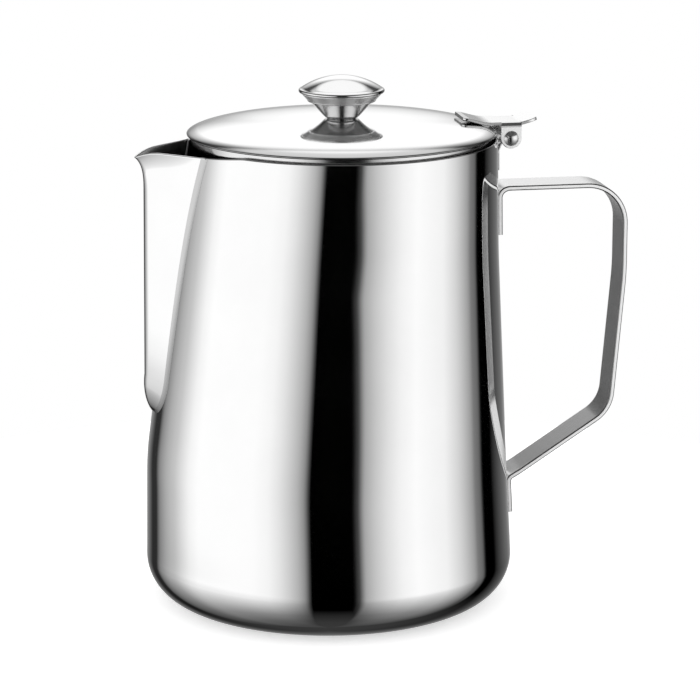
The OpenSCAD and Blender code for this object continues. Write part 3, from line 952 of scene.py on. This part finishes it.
def make_thumb_plate():
    t = PLATE_T
    half = PLATE_W / 2
    mid = PIN_H + THUMB_RISE
    front, back = PIN_X - THUMB_FRONT, PIN_X + THUMB_BACK
    ear0, ear1 = PIN_X - EAR_R, PIN_X + EAR_R
    seat_r = LID_R - SHOULDER_W / 2
    slope = (lid_h(seat_r) - lid_h(seat_r + SLOPE_RUN)) / SLOPE_RUN
    seat_x, seat = MOUTH_X + seat_r, lid_h(seat_r) + t / 2 + THUMB_SEAT
    curl_x = front + FRONT_CURL
    points = [
        (front, mid + FRONT_CURL), (curl_x, seat + slope * (seat_x - curl_x)),
        (seat_x + (seat - mid) / slope, mid), (ear1, mid), (back, mid + BACK_CURL),
    ]
    path = bent_path(points, THUMB_BENDS, THUMB_BEND_STEPS, THUMB_STEP)
    xs = np.array([p[0] for p, _ in path])

    def at(x):
        k = int(min(max(np.searchsorted(xs, x), 1), len(path) - 1))
        f = (x - xs[k - 1]) / max(1e-9, xs[k] - xs[k - 1])
        p = path[k - 1][0] * (1 - f) + path[k][0] * f
        d = path[k - 1][1] * (1 - f) + path[k][1] * f
        return p, d / np.linalg.norm(d)

    def width(x):
        w = half
        taper = ear1 + BACK_TAPER_START
        if x > taper:
            w -= BACK_TAPER * ((x - taper) / (back - taper)) ** 3
        if x < front + FRONT_TAPER_RUN:
            w -= FRONT_TAPER * ((front + FRONT_TAPER_RUN - x) / FRONT_TAPER_RUN) ** 2
        return w

    def section(x, ear):
        p, d = at(x)
        up = np.array([-d[1], d[0]])
        if ear:
            up = np.array([0, 1])
            drop = p[1] + t / 2 - PIN_H + math.sqrt(max(0.0, EAR_R ** 2 - (x - PIN_X) ** 2))
            pts = ear_section(half, drop)
        else:
            pts = plain_section(width(x))
        rows = []
        for side in (1, -1):
            row = []
            for y, down in pts:
                q = p + up * (t / 2 - down)
                row.append((q[0], side * y, q[1]))
            rows.append(row)
        return rows[0] + rows[1][::-1]

    rings = [section(x, False) for x in xs if x < ear0 - EAR_MARGIN]
    rings.append(section(ear0, False))
    for a in [0] + span(*EAR_FAN) + [180]:
        rings.append(section(PIN_X - EAR_R * math.cos(math.radians(a)), True))
    rings.append(section(ear1, False))
    rings += [section(x, False) for x in xs if x > ear1 + EAR_MARGIN]
    verts, faces = loft(rings)
    plate = new_piece("thumb_tab", verts, faces, "lid", ("thumb_plate",), strip_steel,
                      STRIP_SHARP)
    # The ears' sides below the plate get the near-white steel: a painted highlight
    low = mid - EAR_PAINTED_HIGHLIGHT_DROP
    dress(plate, (edge_painted_highlight_steel,), lambda c, normal: 1 if abs(normal.y) > EAR_PAINTED_HIGHLIGHT_TURN and c.z < low else 0)
    weighted(plate)


# Lid and the ring under it
LID_INSET = 0.5
LID_R = MOUTH_R - LID_INSET
LID_T = 0.8
LID_STAND = 1.9
LID_EDGE = RIM_H + LID_STAND
LID_EDGE_ROUND = 0.1
SHOULDER_H = 1.9
SHOULDER_W = 8.0
DOME_H = 2.6
LID_APEX = LID_EDGE + LID_T + SHOULDER_H + DOME_H
LID_RISE = 5.2
LID_BULGE = 2.57
LID_EASE = 0.62
LID_HOLE = 2.2
LID_SIDES = 256
FACES_DOWN = 0.2
RING_PLAY = 1.4
RING_T = 0.7
RING_CORNER = 1.8
RING_DEPTH = 2.4
RING_FLANGE = 6
RING_GAP = 0.05


def lid_h(r):
    """Height of the lid's top by the distance from its axis."""
    return LID_EDGE + LID_EDGE_ROUND + LID_RISE * max(0.0, 1 - (r / LID_R) ** LID_BULGE) ** LID_EASE


def make_lid():
    """The sheet's top, its rolled edge and its underside, with finer steps towards the edge."""
    radii = [LID_HOLE] + span(4, LID_R - 8, 40) + span(LID_R - 8, LID_R - 1, 24, True)
    radii += span(LID_R - 1, LID_R - 0.06, 8, True)
    top = [(r, lid_h(r)) for r in radii]
    edge = [(LID_R - d, LID_EDGE + h) for d, h in
            ((0, 0.12), (0.04, 0.02), (0.45, -0.33), (0.6, -0.36), (0.75, -0.3))]
    under = [(r, lid_h(r) - LID_T) for r in [LID_R - 1.4] + span(LID_R - 2, LID_HOLE, 48)]
    verts, faces = revolved(top + edge + under, (MOUTH_X, 0, 0), LID_SIDES)
    lid = new_piece("lid_sheet", verts, faces, "lid", ("lid_dome",), lid_steel,
                    SHEET_SHARP)
    # Faces under the lid's rim get the dark steel: a painted shadow under its rolled edge
    dress(lid, (edge_shade_painted_steel,), lambda c, normal: 1 if c.z < LID_EDGE and normal.z < FACES_DOWN else 0)


def make_plug_ring():
    """A short upright ring that turns inwards to a flat flange at its foot."""
    r, t = MOUTH_R - WALL - RING_PLAY, RING_T
    foot = RIM_H - RING_DEPTH
    top = lid_h(r) - LID_T - RING_GAP
    cx, cz = r - RING_CORNER, foot + RING_CORNER
    profile = [(r, z) for z in span(top, cz, 5)]
    profile += arc(cx, cz, RING_CORNER, 0, -90, 10)[1:]
    profile += arc(r - RING_FLANGE + t / 2, foot + t / 2, t / 2, -90, -270, 6)
    profile += arc(cx, cz, RING_CORNER - t, -90, 0, 8)
    profile += [(r - t, top)]
    verts, faces = revolved(profile, (MOUTH_X, 0, 0), LID_SIDES)
    new_piece("plug_skirt", verts, faces, "lid", ("lid_plug_ring",), skirt_steel,
              SHEET_SHARP)


# Knob
KNOB_R = 15.5
KNOB_GAP = 0.05
KNOB_SEAT = LID_APEX + KNOB_GAP
CONE_H = 9.7
KNOB_RIM_FOOT = KNOB_SEAT + CONE_H
KNOB_T = 0.7
KNOB_SAG = 5.1
KNOB_RISE = 5.7
KNOB_FOOT_R = 5.8
KNOB_SIDES = 160
NECK_SIDES = 128
KNOB_SLOPE = 0.92
KNOB_SHEET = KNOB_T * math.sqrt(1 + KNOB_SLOPE ** 2)
BEAD_R = 0.72
BEAD_LIFT = 0.3
FOLD_H = 3.5
FOLD_GAP = 0.05
FOLD_SHARE = 0.45
FOLD_FINISH_DROP = 0.3
FACES_UP = 0.5
NECK_FOOT_R = 5.0
NECK_FOOT_ROUND = 0.4


def cone_r(h):
    return KNOB_FOOT_R + KNOB_SLOPE * (h - KNOB_SEAT)


def make_knob_top():
    """The domed cap, with a bead at its rim and a fold that lies on the cone."""
    foot = KNOB_RIM_FOOT
    neck = KNOB_R - 2 * BEAD_R
    sphere_r = (KNOB_R ** 2 + KNOB_SAG ** 2) / (2 * KNOB_SAG)
    centre = foot + KNOB_RISE - sphere_r
    dome = cap_points(sphere_r, centre, neck + 0.1, 26)
    rim = arc(KNOB_R - BEAD_R, foot + BEAD_LIFT, BEAD_R, 88, -128, 18)
    fold_foot = foot - FOLD_H
    skin = cone_r(fold_foot) + FOLD_GAP + KNOB_SHEET * FOLD_SHARE
    fold = [(cone_r(foot - 0.75) + 0.42, foot - 0.75)]
    fold += arc(skin + 0.08, fold_foot + 0.28, 0.3, 16, -100, 8)
    fold += [(cone_r(fold_foot) + 0.06, fold_foot), (cone_r(foot - 0.2) + FOLD_GAP, foot - 0.2), (neck, foot)]
    inner = cap_points(sphere_r - KNOB_T, centre, neck, 14)[::-1]
    verts, faces = revolved(dome + rim + fold + inner, (MOUTH_X, 0, 0), KNOB_SIDES)
    cap = new_piece("knob_top", verts, faces, "lid", ("knob_cap",), knob_steel, STRIP_SHARP)
    low = foot - FOLD_FINISH_DROP
    dress(cap, (flange_steel,), lambda c, normal: 1 if c.z < low and normal.z < FACES_UP else 0)


def make_knob_neck():
    low = KNOB_SEAT
    inner = low + KNOB_T
    profile = [(LID_HOLE, low), (NECK_FOOT_R - 0.1, low)]
    profile += arc(NECK_FOOT_R, low + NECK_FOOT_ROUND, NECK_FOOT_ROUND, -90, -20, 4)
    profile += [(cone_r(h), h) for h in span(low + 0.55, KNOB_RIM_FOOT, 12)]
    profile += [(cone_r(h) - KNOB_SHEET, h) for h in (KNOB_RIM_FOOT, inner)]
    profile += [(LID_HOLE, inner)]
    verts, faces = revolved(profile, (MOUTH_X, 0, 0), NECK_SIDES)
    new_piece("knob_neck", verts, faces, "lid", ("knob_cone",), turned_steel, STRIP_SHARP)


make_body()
make_spout()
make_seam(-1)
make_seam(1)
make_handle()
make_bracket()
make_pin()
make_thumb_plate()
make_lid()
make_plug_ring()
make_knob_top()
make_knob_neck()
for name in ("knob_boss", "knob_washer", "knob_screw"):
    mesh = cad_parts[name].data
    mesh.materials.clear()
    mesh.materials.append(plain_steel)


# Floor: lifted to white for the camera, and left out of the steel's reflections
FLOOR_R = 0.26
FLOOR_DROP = 0.0001
FLOOR_SIDES = 96
FLOOR_GREY = 0.92
FLOOR_LIFT = 0.48


def make_floor():
    mesh = bpy.data.meshes.new("studio_floor")
    turns = [TAU * i / FLOOR_SIDES for i in range(FLOOR_SIDES)]
    verts = [(FLOOR_R * math.cos(a), FLOOR_R * math.sin(a), -FLOOR_DROP) for a in turns]
    mesh.from_pydata(verts, [], [tuple(range(FLOOR_SIDES))])
    mat, nt, bsdf = node_material("floor_white")
    bsdf.inputs["Base Color"].default_value = (*grey(FLOOR_GREY), 1)
    bsdf.inputs["Roughness"].default_value = 0.7
    bsdf.inputs["Specular IOR Level"].default_value = 0.1
    rays = nt.nodes.new("ShaderNodeLightPath")
    glow = nt.nodes.new("ShaderNodeEmission")
    lift = nt.nodes.new("ShaderNodeMath")
    lift.operation = "MULTIPLY"
    lift.inputs[1].default_value = FLOOR_LIFT
    nt.links.new(rays.outputs["Is Camera Ray"], lift.inputs[0])
    nt.links.new(lift.outputs["Value"], glow.inputs["Strength"])
    both = nt.nodes.new("ShaderNodeAddShader")
    nt.links.new(bsdf.outputs["BSDF"], both.inputs[0])
    nt.links.new(glow.outputs["Emission"], both.inputs[1])
    clear = nt.nodes.new("ShaderNodeBsdfTransparent")
    pick = nt.nodes.new("ShaderNodeMixShader")
    nt.links.new(rays.outputs["Is Glossy Ray"], pick.inputs["Fac"])
    nt.links.new(both.outputs["Shader"], pick.inputs[1])
    nt.links.new(clear.outputs["BSDF"], pick.inputs[2])
    nt.links.new(pick.outputs["Shader"], nt.nodes["Material Output"].inputs["Surface"])
    mesh.materials.append(mat)
    floor = bpy.data.objects.new("studio_floor", mesh)
    bpy.context.scene.collection.objects.link(floor)


make_floor()


# Studio: white for the camera, banks and dark gaps for the steel, plain light for the rest.
# Azimuth 0 is in front of the jug and 180 behind it. Tables are (degrees, value)
LOW_BANDS = (
    (-180, 0.5), (-165, 0.28), (-148, 0.03), (-139, 0.03), (-133, 0.26), (-123, 0.46), (-112, 0.62),
    (-97, 1.02), (-89, 1.12), (-47, 1.1), (-37, 1.03), (-30, 0.88), (-24, 0.7), (-18, 0.5), (-14, 0.3),
    (-10.5, 0.0), (16.5, 0.0), (20, 0.07), (23.5, 0.42), (30, 0.62), (38, 0.82), (47, 1.0), (58, 1.1),
    (80, 1.0), (92, 0.74), (105, 0.37), (108.5, 0.21), (113.5, 0.15), (117, 0.0), (129, 0.0),
    (157, 0.17), (180, 0.5),
)
LOW_REACH = (
    (-90, 0.05), (-80, 0.065), (-66, 0.12), (-50, 0.24), (-40, 0.38), (-30, 0.55), (-24, 0.66), (-20, 0.76),
    (-16.6, 0.88), (-15.6, 1.0), (15, 1.0), (20, 0.5), (25, 0.1), (30, 0.0),
)
GAP_LEAN = ((-90, 0.0), (-6, 0.0), (-5, 0.5), (-4, 1.6), (-3, 2.8), (-2, 5.0), (90, 5.0))
GAP_LEAN_UNIT = 10
GAP_SIDE = ((-180, 0), (5, 0), (9, 1), (40, 1), (75, 0), (180, 0))
BACK_BAND = (
    (-180, 1), (-177.5, 1), (-176.5, 0.75), (-175, 0.5), (-172, 0.3), (-166, 0.1), (-160, 0),
    (160, 0), (166, 0.1), (172, 0.3), (175, 0.62), (176.5, 0.8), (177.5, 1), (180, 1),
)
BACK_REACH = ((-3, 0.0), (-1, 0.35), (1, 0.58), (3, 0.76), (5, 0.9), (8, 1.1), (15, 1.1), (26, 0.0))
BACK_SPOT = (21, ((0, 1.12), (10, 1.12), (14, 0.68), (18, 0.36), (23, 0.0)))
TOP_SPOT = (58, ((0, 1.08), (19.5, 1.06), (22.5, 0.75), (26, 0.12), (28.5, 0.0)))
SPOT_REACH = 60
DARK_LEVEL = 0.07
LEAST = ((-90, 0.045), (-70, 0.04), (-50, 0.02), (-34, 0.0), (22, 0.0), (30, DARK_LEVEL))
SIDE_LEVEL = (
    (-180, 0.0), (-146, 0.0), (-126, 0.12), (-80, 0.12), (-62, 0.0), (62, 0.0), (80, 0.12), (126, 0.12),
    (146, 0.0), (180, 0.0),
)
SIDE_REACH = ((-90, 0.0), (18, 0.0), (28, 1.0), (60, 1.0), (75, 0.3), (90, 0.3))
CROWN_LEVEL = ((-180, 0.62), (-138, 0.62), (-118, 0.0), (118, 0.0), (138, 0.62), (180, 0.62))
CROWN_REACH = ((-90, 0.0), (35, 0.0), (43, 1.0), (60, 1.0), (75, 0.3), (90, 0.3))
PLAIN_LEVEL = 0.95
TO_DEGREES = 180 / math.pi


def make_world():
    world = bpy.data.worlds.new("studio")
    bpy.context.scene.world = world
    world.use_nodes = True
    nt = world.node_tree
    nt.nodes.clear()

    def math_node(op, a, b=None):
        node = nt.nodes.new("ShaderNodeMath")
        node.operation = op
        for i, v in enumerate((a, b)):
            if v is None:
                continue
            if isinstance(v, (int, float)):
                node.inputs[i].default_value = v
            else:
                nt.links.new(v, node.inputs[i])
        return node.outputs["Value"]

    def curve(value, stops, low, high):
        """A ramp over a value that runs from low to high."""
        share = math_node("DIVIDE", math_node("SUBTRACT", value, low), high - low)
        node = ramp(nt, [((a - low) / (high - low), v) for a, v in stops])
        nt.links.new(share, node.inputs["Fac"])
        return node.outputs["Color"]

    where = nt.nodes.new("ShaderNodeTexCoord")
    turn = nt.nodes.new("ShaderNodeVectorRotate")
    turn.rotation_type = "Z_AXIS"
    turn.inputs["Angle"].default_value = math.radians(-CAMERA_TURN)
    nt.links.new(where.outputs["Generated"], turn.inputs["Vector"])
    split = nt.nodes.new("ShaderNodeSeparateXYZ")
    nt.links.new(turn.outputs["Vector"], split.inputs["Vector"])
    x, y, z = (split.outputs[k] for k in ("X", "Y", "Z"))
    azimuth = math_node("MULTIPLY", math_node("ARCTAN2", x, math_node("MULTIPLY", y, -1)), TO_DEGREES)
    lift = math_node("MULTIPLY", math_node("ARCSINE", z), TO_DEGREES)

    def bank(turned, level, reach):
        """A level by azimuth times a share by height."""
        return math_node("MULTIPLY", curve(turned, level, -180, 180), curve(lift, reach, -90, 90))

    def spot(height, stops):
        """A round bank behind the jug at a height, by the angle from its middle."""
        h = math.radians(height)
        dot = math_node("ADD", math_node("MULTIPLY", y, math.cos(h)), math_node("MULTIPLY", z, math.sin(h)))
        away = math_node("MULTIPLY", math_node("ARCCOSINE", math_node("MINIMUM", dot, 0.99999)), TO_DEGREES)
        return curve(away, stops, 0, SPOT_REACH)

    def brightest(values):
        top = values[0]
        for value in values[1:]:
            top = math_node("MAXIMUM", top, value)
        return top

    lean = bank(azimuth, GAP_SIDE, [(a, v / GAP_LEAN_UNIT) for a, v in GAP_LEAN])
    leant = math_node("ADD", azimuth, math_node("MULTIPLY", lean, GAP_LEAN_UNIT))
    seen = brightest([
        bank(leant, LOW_BANDS, LOW_REACH),
        bank(azimuth, BACK_BAND, BACK_REACH),
        bank(azimuth, SIDE_LEVEL, SIDE_REACH),
        bank(azimuth, CROWN_LEVEL, CROWN_REACH),
        spot(*BACK_SPOT),
        spot(*TOP_SPOT),
        curve(lift, LEAST, -90, 90),
    ])
    rays = nt.nodes.new("ShaderNodeLightPath")

    def pick(flag, off, on):
        return math_node("ADD", math_node("MULTIPLY", on, flag),
                         math_node("MULTIPLY", off, math_node("SUBTRACT", 1, flag)))

    lit = pick(rays.outputs["Is Glossy Ray"], PLAIN_LEVEL, seen)
    shown = pick(rays.outputs["Is Camera Ray"], lit, 1.0)
    sky = nt.nodes.new("ShaderNodeBackground")
    nt.links.new(shown, sky.inputs["Color"])
    out = nt.nodes.new("ShaderNodeOutputWorld")
    nt.links.new(sky.outputs["Background"], out.inputs["Surface"])


make_world()
